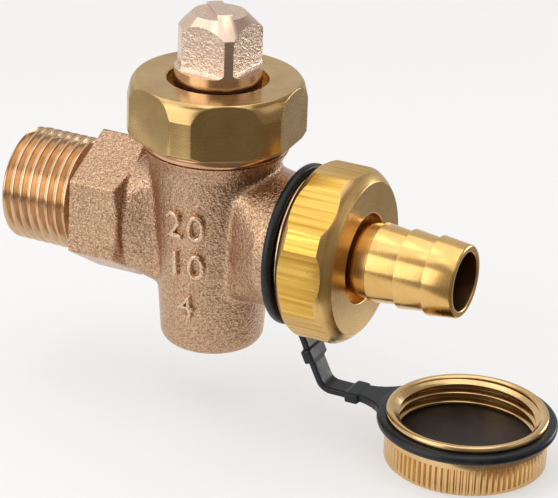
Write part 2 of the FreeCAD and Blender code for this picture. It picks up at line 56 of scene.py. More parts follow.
# Places taken from the frame
BODY_LOW, BODY_HIGH = extent("valve_body")
PLUG_LOW, PLUG_HIGH = extent("plug")
GLAND_LOW, GLAND_HIGH = extent("gland_nut")
FOLLOWER_LOW, FOLLOWER_HIGH = extent("gland_follower")
HOSE_NUT_LOW, HOSE_NUT_HIGH = extent("hose_nut")
GASKET_LOW, GASKET_HIGH = extent("hose_gasket")
TAIL_LOW, TAIL_HIGH = extent("hose_tail")
STRAP_LOW, STRAP_HIGH = extent("retaining_strap")
CAP_LOW, CAP_HIGH = extent("screw_cap")
SEAL_LOW, SEAL_HIGH = extent("cap_seal")
PLUG_X = (PLUG_LOW.x + PLUG_HIGH.x) / 2
CAP_X = (CAP_LOW.x + CAP_HIGH.x) / 2

# Body casting
FLOW_BORE_R = 5.2
CAST_VOXEL = 0.25
HOLLOW_LIMIT = 0.004
HOLLOW_ROUNDS = 14
HOLLOW_PASSES = 4
SKIN_STEP = 0.02
SHOULDER_X = 0.12
HEX_AF = 23.2
HEX_TURN = 2.5
HEX_CORNER_X = 9.1
HEX_END_X = 10.1
HEX_END_R = 11.3
NECK_END_X = STRAP_LOW.x - 0.25
RIM_FOOT_Z = 15.5
SEAT_TOP_R = 8.9
SEAT_FLOOR_R = 7.0
SEAT_FLOOR_Z = -16.6
SEAT_TOP_Z = 9.2
STUFFING_BOX_R = 9.7
BORE_STOPPER_R = 6.0
SPIGOT_STOPPER_R = 10.5
STOPPER_LENGTH = 2.0
BARREL_BASE_R = 9.45
BARREL_TOP_R = 11.8
BARREL_TOP_Z = 13.0

# Raised numbers on the barrel: text, height of the figures, foot above the flow axis
CAST_NUMBERS = (("20", 4.9, 1.2), ("10", 4.7, -6.3), ("4", 4.4, -14.3))
NUMBERS_TURN = 0.0
NUMBERS_HALF_TURN = 33.0
NUMBERS_RELIEF = 0.8
NUMBERS_ROUND = 0.42
NUMBERS_SINK = 0.6
NUMBERS_THINNING = 0.28
NUMBERS_SPACING = 1.2
FIGURE_SHARE = 0.7

# Threads
PIPE_PITCH = 1.814
PIPE_DEPTH = 1.1
INLET_THREAD_D = 20.955
OUTLET_THREAD_X = 42.0
OUTLET_THREAD_D = 26.441
GROOVE_R = 11.8
SPIGOT_Z = 17.6
SPIGOT_D = 24.4
SPIGOT_PITCH = 1.5
SPIGOT_DEPTH = 0.85
RIM_R = 13.1
THREAD_FORM = (
    (0.0, 0.0), (0.06, 0.02), (0.12, 0.12), (0.34, 0.9), (0.38, 0.98), (0.42, 1.0), (0.5, 1.0), (0.58, 1.0),
    (0.62, 0.98), (0.66, 0.9), (0.88, 0.12), (0.94, 0.02), (1.0, 0.0),
)

# Plug
PLUG_BOTTOM_R = 6.955
PLUG_TOP_R = 8.8
STEM_R = 7.75
HEAD_FOOT_Z = 30.2
HEAD_AF = 12.05
HEAD_TURN = -4.0
HEAD_TOP_R = 4.1
RIB_WIDTH = 2.7
RIB_HEIGHT = 0.75
LEFT_CORNER_REACH = 7.0
PORT_HALF_LENGTH = 20
CUT_LENGTH = 30
CUT_HEIGHT = 20.0
FLAT_CUT = 6.0
RIB_CUT = 12.0

# Gland nut
GLAND_AF = 29.5
GLAND_CORNER_R = 15.95
GLAND_TOP_R = 14.6
GLAND_SHOULDER = 3.4
GLAND_SWELLING = 6
GLAND_FOOT = 0.7
GLAND_EDGE = 0.08
GLAND_EDGE_ANGLE = 14
GLAND_ROOF = 3.0
GLAND_HOLE_R = 9.0
GLAND_THREAD_R = 12.32
GLAND_TURN = 34.0

# Hose nut
HOSE_NUT_AF = 30.6
HOSE_NUT_CORNER_R = 15.9
HOSE_NUT_FACE_R = 13.8
HOSE_NUT_FACE_SHOULDER = 2.6
HOSE_NUT_BACK_R = 14.3
HOSE_NUT_BACK_SHOULDER = 1.8
HOSE_NUT_SWELLING = 2.2
HOSE_NUT_WALL = 2.5
HOSE_NUT_EDGE = 0.07
HOSE_NUT_EDGE_ANGLE = 13
HOSE_NUT_HOLE_R = 8.1
HOSE_NUT_THREAD_R = 13.341
HOSE_NUT_TURN = 4.0

# Hose tail
TAIL_FLANGE_R = 12.5
TAIL_FLANGE_THICKNESS = 1.6
TAIL_SHANK_R = 6.7
TAIL_BORE_R = 5.2
BARB_COUNT = 3
BARB_PITCH = 5.35
BARB_CREST_R = 7.15
BARB_ROOT_R = 6.48

# Hidden rings
GASKET_HOLE_R = 6.0
FOLLOWER_GAP = 0.15
FOLLOWER_FLANGE = 1.2
PACKING_GAP = 0.1

# Rubber strap
STRAP_X = 41.0
STRAP_Z = -26.35
NECK_RING_R = 11.95
NECK_RING_OUTER_R = 14.6
NECK_RING_HALF = STRAP_X - STRAP_LOW.x
CAP_RING_R = 14.0
CAP_RING_OUTER_R = 16.0
CAP_RING_HALF = 0.85
CAP_RING_Z = -26.2
STRAP_WIDTH = 4.4
STRAP_THICKNESS = 1.2
STRAP_SLOPE = 25.5
STRAP_BEND_R = 2.6
STRAP_BEND_STEPS = 10
KEEPER_SIZE = (2.6, 6.0, 1.9)
UPPER_KEEPER_DROP = 20.4
LOWER_KEEPER_RUN = 6.1
GUSSET_LENGTH = 7.0
GUSSET_HALF_WIDTH = 8.5
GUSSET_HOLLOW = 2.6
GUSSET_STEPS = 8
STRAP_VOXEL = 0.17

# Screw cap
CAP_R = 14.4
CAP_BEAD = 1.1
CAP_GROOVE_R = 13.85
CAP_GROOVE = 2.1
CAP_FLOOR = 2.8
CAP_THREAD_R = 12.06
CAP_LEAD = 1.3
CAP_LEAD_DEPTH = 1.1
CAP_POCKET_R = 12.95
CAP_POCKET = 1.9
KNURL_RIBS = 82
KNURL_STEPS = 5
KNURL_TOP_Z = -28.9
KNURL_DEPTH = 0.55
KNURL_FORM = (1.0, 1.0, 0.0, 0.0, 0.0)

# Mesh fineness
TURN_STEPS = 144
NUT_STEPS = 192
STOPPER_STEPS = 48
PORT_STEPS = 96
ROUND_STEPS = 4
SHOULDER_STEPS = 12
CREASE_ANGLE = 32.0
NUT_CREASE = 11.0
PLUG_CREASE = 16.0
CAST_CREASE = 50
MOULDED_CREASE = 60

# Lathe marks per metre
TURNING_RINGS = 9000

# Camera, set to the photograph's angle and distance
VIEW_TURN = 26.04
VIEW_RISE = 23.9
VIEW_ROLL = 2.01
VIEW_DISTANCE = 467.71
VIEW_RIGHT = 11.6
VIEW_UP = -4.58
VIEW_LENS = 167.74
VIEW_SENSOR = 36

# Stage: edges of the floor, in degrees from -Y towards +X and millimetres from the plug's axis
FLOOR_EDGES = ((60, 64.8), (110.4, 67.5), (-57.4, 116))
FLOOR_HALF_WIDTH = 3000
FLOOR_GAP = 0.05
FLOOR_GLOW = 0.5
SKY_TURN = 72.0
SKY_BACK = 0.75
SKY_FRONT = 0.26
SKY_BELOW = 0.7
SKY_SIDES = (-0.9, 0.6)
SKY_HORIZON = (-0.15, 0.1)
SKY_TINT = (1, 0.88, 0.74, 1)
SKY_TINT_SIDES = (-0.2, 0.7)

# Soft boxes: name, place, target, size and power in watts
LAMPS = (
    ("key_box", (-140, -355, 120), (20, 0, -10), 340, 0.57),
    ("left_box", (-151, -101, 380), (20, 0, 0), 380, 0.38),
    ("front_box", (178, -130, 380), (25, 0, 10), 340, 0.26),
    ("right_box", (404, 81, 157), (40, 0, 0), 240, 0.08),
    ("top_box", (40, 140, 470), (20, 0, 0), 420, 0.5),
    ("rim_box", (256, 345, 30), (55, 0, -20), 170, 0.33),
)


# Shapes

def turned(profile, steps=TURN_STEPS):
    """Solid turned about Z from an outline of (radius, height) points; a third value rounds that corner."""
    bm = bmesh.new()
    corners = [(bm.verts.new((p[0], 0, p[1])), p[2] if len(p) > 2 else 0) for p in profile]
    bm.faces.new([vert for vert, rounding in corners])
    for radius in sorted({rounding for vert, rounding in corners if rounding}):
        bmesh.ops.bevel(
            bm, geom=[vert for vert, rounding in corners if rounding == radius], offset=radius,
            offset_type="OFFSET", affect="VERTICES", segments=ROUND_STEPS, profile=0.5, material=-1,
        )
    bmesh.ops.delete(bm, geom=bm.faces[:], context="FACES_ONLY")
    on_axis = [edge for edge in bm.edges if all(vert.co.x < 1e-6 for vert in edge.verts)]
    bmesh.ops.delete(bm, geom=on_axis, context="EDGES")
    bmesh.ops.spin(
        bm, geom=bm.verts[:] + bm.edges[:], axis=(0, 0, 1), cent=(0, 0, 0), angle=2 * math.pi,
        steps=steps, use_merge=True,
    )
    bmesh.ops.remove_doubles(bm, verts=bm.verts[:], dist=1e-4)
    bmesh.ops.recalc_face_normals(bm, faces=bm.faces[:])
    return bm


def moved(bm, x=0.0, z=0.0):
    """Shifts a shape along X and Z."""
    bmesh.ops.translate(bm, vec=(x, 0, z), verts=bm.verts[:])
    return bm


def laid_down(bm):
    """Turns a shape so that its upright axis lies along the flow."""
    bmesh.ops.rotate(bm, cent=(0, 0, 0), matrix=Matrix.Rotation(math.pi / 2, 3, "Y"), verts=bm.verts[:])
    return bm


def turned_x(profile, steps=TURN_STEPS):
    """Solid turned about the flow axis; the points are (radius, station)."""
    return laid_down(turned(profile, steps))


def block(size, centre, turn=0.0, rounding=0.0):
    """Box of the given size about a centre, turned about Z in degrees, with rounded edges."""
    bm = bmesh.new()
    bmesh.ops.create_cube(bm, size=1)
    bmesh.ops.scale(bm, vec=size, verts=bm.verts[:])
    if rounding:
        bmesh.ops.bevel(
            bm, geom=bm.edges[:], offset=rounding, offset_type="OFFSET", affect="EDGES",
            segments=ROUND_STEPS, profile=0.5, material=-1,
        )
    bmesh.ops.translate(bm, vec=centre, verts=bm.verts[:])
    matrix = Matrix.Rotation(math.radians(turn), 3, "Z")
    bmesh.ops.rotate(bm, cent=(0, 0, 0), matrix=matrix, verts=bm.verts[:])
    return bm


def side_directions(count, turn, upright):
    """Outward directions of a bar's flats, counted from -Y towards +X, or upwards on a lying bar."""
    directions = []
    for index in range(count):
        angle = math.radians(turn + 360 / count * index)
        across = Vector((math.sin(angle), -math.cos(angle), 0))
        directions.append(across if upright else Vector((0, across.y, across.x)))
    return directions


def cut_flats(bm, directions, reach):
    """Planes flats on a turned blank, each at the same reach from its axis."""
    for direction in directions:
        squared_off(bm, direction * reach, direction)
    bmesh.ops.remove_doubles(bm, verts=bm.verts[:], dist=0.04)
    bmesh.ops.recalc_face_normals(bm, faces=bm.faces[:])
    return bm


def shoulder(face_r, corner_r, face_z, depth, swelling):
    """Rounded shoulder from the edge of a nut's face down to its corners; a negative depth runs upwards."""
    points = []
    for index in range(SHOULDER_STEPS + 1):
        share = index / SHOULDER_STEPS
        swell = (share + 1 - (1 - share) ** swelling) / 2
        points.append((face_r + (corner_r - face_r) * swell, face_z - depth * share))
    return points


def softened(bm, radius, angle):
    """Takes the sharpness off every edge that turns by more than the angle, in degrees."""
    sharp = [edge for edge in bm.edges if edge.is_manifold and edge.calc_face_angle() > math.radians(angle)]
    bmesh.ops.bevel(
        bm, geom=sharp, offset=radius, offset_type="OFFSET", affect="EDGES", segments=2,
        profile=0.5, material=-1, clamp_overlap=False, loop_slide=True,
    )
    return bm


def scratch_object(bm):
    """Holds a shape for a modifier, outside the finished pieces."""
    mesh = bpy.data.meshes.new("scratch")
    bm.to_mesh(mesh)
    bm.free()
    obj = bpy.data.objects.new("scratch", mesh)
    bpy.context.scene.collection.objects.link(obj)
    return obj


def modified(obj):
    """Shape of a scratch object after its modifiers; the object is removed."""
    bpy.context.view_layer.update()
    shape = obj.evaluated_get(bpy.context.evaluated_depsgraph_get())
    bm = bmesh.new()
    bm.from_mesh(shape.data)
    mesh = obj.data
    bpy.data.objects.remove(obj)
    bpy.data.meshes.remove(mesh)
    return bm


def carved(bm, cutters):
    """Shape with each cutter taken out of it in turn."""
    for cutter in cutters:
        target = scratch_object(bm)
        tool = scratch_object(cutter)
        boolean = target.modifiers.new("carve", "BOOLEAN")
        boolean.operation = "DIFFERENCE"
        boolean.solver = "MANIFOLD"
        boolean.object = tool
        bm = modified(target)
        mesh = tool.data
        bpy.data.objects.remove(tool)
        bpy.data.meshes.remove(mesh)
    return bm


def fused(shapes, voxel):
    """One skin round several closed shapes that overlap."""
    whole = bmesh.new()
    for shape in shapes:
        mesh = bpy.data.meshes.new("scratch")
        shape.to_mesh(mesh)
        shape.free()
        whole.from_mesh(mesh)
        bpy.data.meshes.remove(mesh)
    obj = scratch_object(whole)
    remesh = obj.modifiers.new("fuse", "REMESH")
    remesh.mode = "VOXEL"
    remesh.voxel_size = voxel
    return modified(obj)


def relaxed(bm, passes, verts=None):
    """Evens out a skin, all over or at the given points."""
    chosen = bm.verts[:] if verts is None else verts
    for index in range(passes):
        bmesh.ops.smooth_vert(bm, verts=chosen, factor=0.5, use_axis_x=True, use_axis_y=True, use_axis_z=True)
    return bm


def squared_off(bm, place, direction):
    """Cuts a shape flat at a place and closes the cut; the side that the direction points to goes."""
    cut = bmesh.ops.bisect_plane(
        bm, geom=bm.verts[:] + bm.edges[:] + bm.faces[:], dist=1e-5,
        plane_co=place, plane_no=direction, clear_outer=True,
    )
    rim = [item for item in cut["geom_cut"] if isinstance(item, bmesh.types.BMEdge)]
    bmesh.ops.edgeloop_fill(bm, edges=rim)
    return bm


def open_loop(bm, height):
    """Edges of the open rim that lies at a height."""
    return [
        edge for edge in bm.edges
        if edge.is_boundary and all(abs(vert.co.z - height) < 1e-3 for vert in edge.verts)
    ]


def thread_skin(major_r, depth, pitch, start, end):
    """Right-hand helical skin about Z, cut off square at both ends."""
    bm = bmesh.new()
    turns = math.ceil((end - start) / pitch) + 2
    previous = None
    for share, height in THREAD_FORM:
        vert = bm.verts.new((major_r - depth * (1 - height), 0, start + (share - 1) * pitch))
        if previous:
            bm.edges.new((previous, vert))
        previous = vert
    bmesh.ops.spin(
        bm, geom=bm.verts[:] + bm.edges[:], axis=(0, 0, 1), cent=(0, 0, 0),
        dvec=(0, 0, pitch / TURN_STEPS), angle=2 * math.pi * turns, steps=TURN_STEPS * turns,
    )
    bmesh.ops.remove_doubles(bm, verts=bm.verts[:], dist=2e-3)
    for height, keep_above in ((start, True), (end, False)):
        bmesh.ops.bisect_plane(
            bm, geom=bm.verts[:] + bm.edges[:] + bm.faces[:], dist=1e-5, plane_co=(0, 0, height),
            plane_no=(0, 0, 1), clear_inner=keep_above, clear_outer=not keep_above,
        )
    return bm


def limit_radius(bm, limit):
    """Draws in every point that stands further out than the limit at its height."""
    for vert in bm.verts:
        radius = math.hypot(vert.co.x, vert.co.y)
        allowed = limit(vert.co.z)
        if radius > allowed:
            vert.co.x *= allowed / radius
            vert.co.y *= allowed / radius


def threaded_tube(major_r, depth, pitch, start, end, bore_r, limit):
    """Upright tube with a thread outside; limit gives the largest radius at a height."""
    bm = thread_skin(major_r, depth, pitch, start, end)
    limit_radius(bm, limit)
    rims = {height: open_loop(bm, height) for height in (start, end)}
    bores = {}
    for height in (start, end):
        ring = bmesh.ops.create_circle(bm, cap_ends=False, radius=bore_r, segments=TURN_STEPS)
        bmesh.ops.translate(bm, vec=(0, 0, height), verts=ring["verts"])
        bores[height] = list({edge for vert in ring["verts"] for edge in vert.link_edges})
        bmesh.ops.bridge_loops(bm, edges=rims[height] + bores[height])
    bmesh.ops.bridge_loops(bm, edges=bores[start] + bores[end])
    bmesh.ops.recalc_face_normals(bm, faces=bm.faces[:])
    return bm


def threaded_rod(major_r, depth, pitch, start, end):
    """Upright solid with a thread outside, for cutting a thread in a hole."""
    bm = thread_skin(major_r, depth, pitch, start, end)
    for height in (start, end):
        bmesh.ops.edgeloop_fill(bm, edges=open_loop(bm, height))
    bmesh.ops.recalc_face_normals(bm, faces=bm.faces[:])
    return bm


# Finishes

def wire(tree, kind, settings=None, **inputs):
    """Adds a shader node; each input is a value or the output of another node."""
    node = tree.nodes.new(kind)
    for key, value in (settings or {}).items():
        setattr(node, key, value)
    for key, value in inputs.items():
        socket = node.inputs[int(key[1:])] if key[0] == "i" and key[1:].isdigit() else node.inputs[key]
        if isinstance(value, bpy.types.NodeSocket):
            tree.links.new(value, socket)
        else:
            socket.default_value = value
    return node


def finish(name, roughness, metallic=1.0, colour=(0.8, 0.8, 0.8, 1), specular=0.5):
    """New material with its plain numbers set on the shader."""
    material = bpy.data.materials.new(name)
    material.use_nodes = True
    shader = material.node_tree.nodes["Principled BSDF"]
    shader.inputs["Base Color"].default_value = colour
    shader.inputs["Metallic"].default_value = metallic
    shader.inputs["Roughness"].default_value = roughness
    shader.inputs["Specular IOR Level"].default_value = specular
    return material, material.node_tree, shader


def grain(tree, scale, detail, stretch=(1, 1, 1), shift=(0, 0, 0)):
    """Noise on the piece's own coordinates, in grains per metre; stretch slows it along an axis."""
    place = wire(tree, "ShaderNodeTexCoord")
    mapping = wire(tree, "ShaderNodeMapping", Vector=place.outputs["Object"])
    mapping.inputs["Location"].default_value = shift
    mapping.inputs["Scale"].default_value = stretch
    return wire(
        tree, "ShaderNodeTexNoise", Vector=mapping.outputs["Vector"],
        Scale=scale, Detail=detail, Roughness=0.6,
    ).outputs["Fac"]


def blend_colours(tree, share, dark, light, low, high):
    """Colour that runs from dark to light as the share rises from low to high."""
    ramp = wire(tree, "ShaderNodeValToRGB", Fac=share)
    ramp.color_ramp.elements[0].position = low
    ramp.color_ramp.elements[0].color = dark
    ramp.color_ramp.elements[1].position = high
    ramp.color_ramp.elements[1].color = light
    return ramp.outputs["Color"]


def between(tree, share, low, high, start=0.3, end=0.7):
    """Number that runs from low to high as the share rises from start to end."""
    ramp = wire(tree, "ShaderNodeMapRange", Value=share)
    ramp.inputs["From Min"].default_value = start
    ramp.inputs["From Max"].default_value = end
    ramp.inputs["To Min"].default_value = low
    ramp.inputs["To Max"].default_value = high
    return ramp.outputs["Result"]


def relief(tree, shader, height, depth, strength):
    """Bump of a depth in metres."""
    bump = wire(tree, "ShaderNodeBump", Height=height, Strength=strength, Distance=depth)
    tree.links.new(bump.outputs["Normal"], shader.inputs["Normal"])


def cast_finish(name, dark, light, roughness, depth):
    """Sand-cast metal: close grain with bright specks on a gently uneven skin."""
    material, tree, shader = finish(name, roughness)
    sand = grain(tree, 3000, 1.0)
    skin = grain(tree, 1050, 2.0, shift=(0.1, 0.4, 0.2))
    specks = grain(tree, 5200, 1.0, shift=(0.3, 0.1, 0.2))
    tree.links.new(blend_colours(tree, sand, dark, light, 0.32, 0.66), shader.inputs["Base Color"])
    tree.links.new(between(tree, specks, roughness - 0.14, roughness + 0.12), shader.inputs["Roughness"])
    height = wire(tree, "ShaderNodeMath", {"operation": "MULTIPLY_ADD"}, i0=skin, i1=1.5, i2=sand)
    relief(tree, shader, height.outputs["Value"], depth, 0.9)
    return material


def turned_finish(name, dark, light, roughness, axis, centre):
    """Lathe-turned metal: rings about an axis through the centre."""
    material, tree, shader = finish(name, roughness)
    place = wire(tree, "ShaderNodeTexCoord")
    offset = wire(
        tree, "ShaderNodeVectorMath", {"operation": "SUBTRACT"}, i0=place.outputs["Object"], i1=centre,
    )
    parts = wire(tree, "ShaderNodeSeparateXYZ", Vector=offset.outputs["Vector"])
    first, second, along = (("Y", "Z", "X") if axis == "X" else ("X", "Y", "Z"))
    first_square = wire(tree, "ShaderNodeMath", {"operation": "POWER"}, i0=parts.outputs[first], i1=2.0)
    both = wire(
        tree, "ShaderNodeMath", {"operation": "MULTIPLY_ADD"},
        i0=parts.outputs[second], i1=parts.outputs[second], i2=first_square.outputs["Value"],
    )
    radius = wire(tree, "ShaderNodeMath", {"operation": "SQRT"}, i0=both.outputs["Value"])
    line = wire(
        tree, "ShaderNodeMath", {"operation": "ADD"}, i0=radius.outputs["Value"], i1=parts.outputs[along],
    )
    cuts = wire(
        tree, "ShaderNodeTexNoise", {"noise_dimensions": "1D"}, W=line.outputs["Value"],
        Scale=TURNING_RINGS, Detail=2.0,
    ).outputs["Fac"]
    stain = grain(tree, 160, 3.0)
    colour = blend_colours(tree, stain, dark, light, 0.3, 0.7)
    tree.links.new(colour, shader.inputs["Base Color"])
    tree.links.new(between(tree, cuts, roughness - 0.06, roughness + 0.08), shader.inputs["Roughness"])
    relief(tree, shader, cuts, 0.000012, 0.25)
    return material


def drawn_finish(name, dark, light, roughness, stretch):
    """Drawn bar: fine streaks along the bar."""
    material, tree, shader = finish(name, roughness)
    streaks = grain(tree, 1500, 4.0, stretch)
    colour = blend_colours(tree, streaks, dark, light, 0.32, 0.62)
    tree.links.new(colour, shader.inputs["Base Color"])
    tree.links.new(between(tree, streaks, roughness + 0.08, roughness - 0.06), shader.inputs["Roughness"])
    relief(tree, shader, streaks, 0.00004, 0.3)
    return material


def rubber_finish(name, dark, light, roughness, scuffs):
    """Moulded rubber with a faint bloom."""
    material, tree, shader = finish(name, roughness, metallic=0.0, specular=0.32)
    bloom = grain(tree, scuffs, 4.0)
    tree.links.new(blend_colours(tree, bloom, dark, light, 0.4, 0.7), shader.inputs["Base Color"])
    tree.links.new(between(tree, bloom, roughness - 0.08, roughness + 0.1), shader.inputs["Roughness"])
    relief(tree, shader, grain(tree, 2600, 2.0), 0.00003, 0.3)
    return material


# Pieces

def piece(name, bm, body, materials, stands_for=None, crease=CREASE_ANGLE):
    """Finished piece that rides on a body of the frame, with its place in its mesh."""
    bmesh.ops.scale(bm, vec=(MM, MM, MM), verts=bm.verts[:])
    mesh = bpy.data.meshes.new(name)
    bm.to_mesh(mesh)
    bm.free()
    mesh.shade_smooth()
    mesh.set_sharp_from_angle(angle=math.radians(crease))
    for material in materials:
        mesh.materials.append(material)
    obj = bpy.data.objects.new(name, mesh)
    bpy.context.scene.collection.objects.link(obj)
    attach(obj, body)
    if stands_for:
        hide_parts(stands_for)
    return obj


def cad_copy(node):
    """The node's own mesh as a closed shape in millimetres."""
    bm = bmesh.new()
    bm.from_mesh(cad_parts[node].data)
    bmesh.ops.scale(bm, vec=(1 / MM, 1 / MM, 1 / MM), verts=bm.verts[:])
    bmesh.ops.remove_doubles(bm, verts=bm.verts[:], dist=1e-4)
    bmesh.ops.delete(bm, geom=[face for face in bm.faces if face.calc_area() < 1e-9], context="FACES_ONLY")
    return bm


def barrel_radius(z):
    """Outside radius of the barrel at a height."""
    share = (z - BODY_LOW.z) / (BARREL_TOP_Z - BODY_LOW.z)
    return BARREL_BASE_R + (BARREL_TOP_R - BARREL_BASE_R) * share


def raised_number(text, height, foot_z):
    """Figures wrapped round the front of the barrel, standing out by the relief."""
    curve = bpy.data.curves.new("number", "FONT")
    curve.body = text
    curve.align_x = "CENTER"
    curve.size = height / FIGURE_SHARE
    curve.extrude = (NUMBERS_RELIEF + NUMBERS_SINK) / 2 - NUMBERS_ROUND
    curve.bevel_depth = NUMBERS_ROUND
    curve.bevel_resolution = 3
    curve.offset = -NUMBERS_THINNING
    curve.space_character = NUMBERS_SPACING
    holder = bpy.data.objects.new("number", curve)
    bpy.context.scene.collection.objects.link(holder)
    bm = modified_curve(holder)
    for vert in bm.verts:
        across, up, out = vert.co
        z = foot_z + up
        radius = barrel_radius(z) + out + (NUMBERS_RELIEF - NUMBERS_SINK) / 2
        angle = math.radians(NUMBERS_TURN) + across / barrel_radius(z)
        vert.co = (PLUG_X + radius * math.sin(angle), -radius * math.cos(angle), z)
    return bm


def modified_curve(obj):
    """Mesh of a text object; the object is removed."""
    bpy.context.view_layer.update()
    mesh = bpy.data.meshes.new_from_object(obj.evaluated_get(bpy.context.evaluated_depsgraph_get()))
    bm = bmesh.new()
    bm.from_mesh(mesh)
    bmesh.ops.remove_doubles(bm, verts=bm.verts[:], dist=1e-4)
    curve = obj.data
    bpy.data.objects.remove(obj)
    bpy.data.curves.remove(curve)
    bpy.data.meshes.remove(mesh)
    return bm


def hollow_points(bm):
    """Points of the casting in the hollows beside the barrel, clear of the hexagon and the numbers."""
    found = []
    for vert in bm.verts:
        x = vert.co.x - PLUG_X
        turn = math.degrees(math.atan2(x, -vert.co.y))
        in_reach = HEX_END_X + 0.6 < vert.co.x < NECK_END_X - 1.5
        if in_reach and abs(turn - NUMBERS_TURN) > NUMBERS_HALF_TURN and vert.link_edges:
            nearby = [edge.other_vert(vert).co for edge in vert.link_edges]
            around = sum(nearby, Vector()) / len(nearby)
            if (around - vert.co).dot(vert.normal) > HOLLOW_LIMIT:
                found.append(vert)
    return found


def filled_hollows(bm, rounds):
    """Rounds off the hollows of a casting and leaves its outer edges as they are."""
    for index in range(rounds):
        bm.normal_update()
        relaxed(bm, HOLLOW_PASSES, hollow_points(bm))
    return bm


def stopper(radius):
    """Upright disc that closes a hole while the skin of the casting is drawn."""
    return turned([(0, 0), (radius, 0), (radius, STOPPER_LENGTH), (0, STOPPER_LENGTH)], STOPPER_STEPS)


def body_casting(material):
    """Cast body with soft hollows, the taper seat and the bore."""
    stoppers = [
        moved(laid_down(stopper(BORE_STOPPER_R)), x=BODY_LOW.x + 1),
        moved(laid_down(stopper(BORE_STOPPER_R)), x=BODY_HIGH.x - 1 - STOPPER_LENGTH),
        moved(stopper(SPIGOT_STOPPER_R), x=PLUG_X, z=BODY_HIGH.z - 1 - STOPPER_LENGTH),
    ]
    corner_r = HEX_AF / math.sqrt(3)
    hexagon = turned_x([
        (0, SHOULDER_X - 0.5), (corner_r, SHOULDER_X - 0.5), (corner_r, HEX_CORNER_X), (HEX_END_R, HEX_END_X),
        (0, HEX_END_X),
    ])
    cut_flats(hexagon, side_directions(6, HEX_TURN, False), HEX_AF / 2)
    skin = fused([cad_copy("valve_body"), hexagon] + stoppers, CAST_VOXEL)
    relaxed(skin, 2)
    filled_hollows(skin, HOLLOW_ROUNDS)
    relaxed(skin, 1)
    squared_off(skin, (SHOULDER_X, 0, 0), (-1, 0, 0))
    squared_off(skin, (NECK_END_X, 0, 0), (1, 0, 0))
    squared_off(skin, (0, 0, RIM_FOOT_Z), (0, 0, 1))
    seat = moved(turned([
        (0, SEAT_FLOOR_Z), (SEAT_FLOOR_R, SEAT_FLOOR_Z), (SEAT_TOP_R, SEAT_TOP_Z),
        (STUFFING_BOX_R, SEAT_TOP_Z), (STUFFING_BOX_R, BODY_HIGH.z), (0, BODY_HIGH.z),
    ]), x=PLUG_X)
    bore = turned_x([
        (0, BODY_LOW.x), (FLOW_BORE_R, BODY_LOW.x), (FLOW_BORE_R, BODY_HIGH.x), (0, BODY_HIGH.x),
    ])
    skin = carved(skin, [seat, bore])
    return piece("body_casting", skin, "body", [material], "valve_body", CAST_CREASE)


def cast_numbers(material):
    """Raised numbers on the front of the barrel."""
    for text, height, foot_z in CAST_NUMBERS:
        bm = raised_number(text, height, foot_z)
        piece(f"cast_number_{text}", bm, "body", [material], crease=MOULDED_CREASE)


def inlet_thread(material):
    """Pipe thread of the inlet, chamfered at its end and running out at the hexagon."""
    major_r = INLET_THREAD_D / 2
    root_r = major_r - PIPE_DEPTH

    def limit(z):
        lead = root_r + 0.75 + (z - BODY_LOW.x)
        runout = root_r + max(0.0, -z - 0.9) * 1.4
        return min(major_r, lead, max(root_r, runout))

    tube = threaded_tube(
        major_r, PIPE_DEPTH, PIPE_PITCH, BODY_LOW.x, SHOULDER_X + 0.4, FLOW_BORE_R + SKIN_STEP, limit,
    )
    return piece("inlet_thread", laid_down(tube), "body", [material])


def gland_spigot(material):
    """Turned rim on top of the casting and the thread that takes the gland nut."""
    rim = turned([
        (STUFFING_BOX_R + SKIN_STEP, RIM_FOOT_Z - 0.2), (RIM_R, RIM_FOOT_Z - 0.2, 0.9),
        (RIM_R, SPIGOT_Z, 0.9), (STUFFING_BOX_R + SKIN_STEP, SPIGOT_Z),
    ])
    piece("gland_rim", moved(rim, x=PLUG_X), "body", [material])
    major_r = SPIGOT_D / 2

    def limit(z):
        return min(major_r, major_r - SPIGOT_DEPTH - 0.1 + (BODY_HIGH.z - z))

    tube = threaded_tube(
        major_r, SPIGOT_DEPTH, SPIGOT_PITCH, SPIGOT_Z - 0.2, BODY_HIGH.z,
        STUFFING_BOX_R + 2 * SKIN_STEP, limit,
    )
    return piece("gland_spigot", moved(tube, x=PLUG_X), "body", [material])


def outlet_end(material):
    """Groove for the strap and the outlet's pipe thread."""
    bore_r = FLOW_BORE_R + SKIN_STEP
    groove = turned_x([
        (bore_r, NECK_END_X - 0.3), (GROOVE_R, NECK_END_X - 0.3), (GROOVE_R, OUTLET_THREAD_X + 0.3),
        (bore_r, OUTLET_THREAD_X + 0.3),
    ])
    piece("outlet_groove", groove, "body", [material])
    major_r = OUTLET_THREAD_D / 2

    def limit(z):
        return min(major_r, major_r - 0.8 + (BODY_HIGH.x - z))

    tube = threaded_tube(
        major_r, PIPE_DEPTH, PIPE_PITCH, OUTLET_THREAD_X, BODY_HIGH.x, FLOW_BORE_R + 2 * SKIN_STEP, limit,
    )
    return piece("outlet_thread", laid_down(tube), "body", [material])


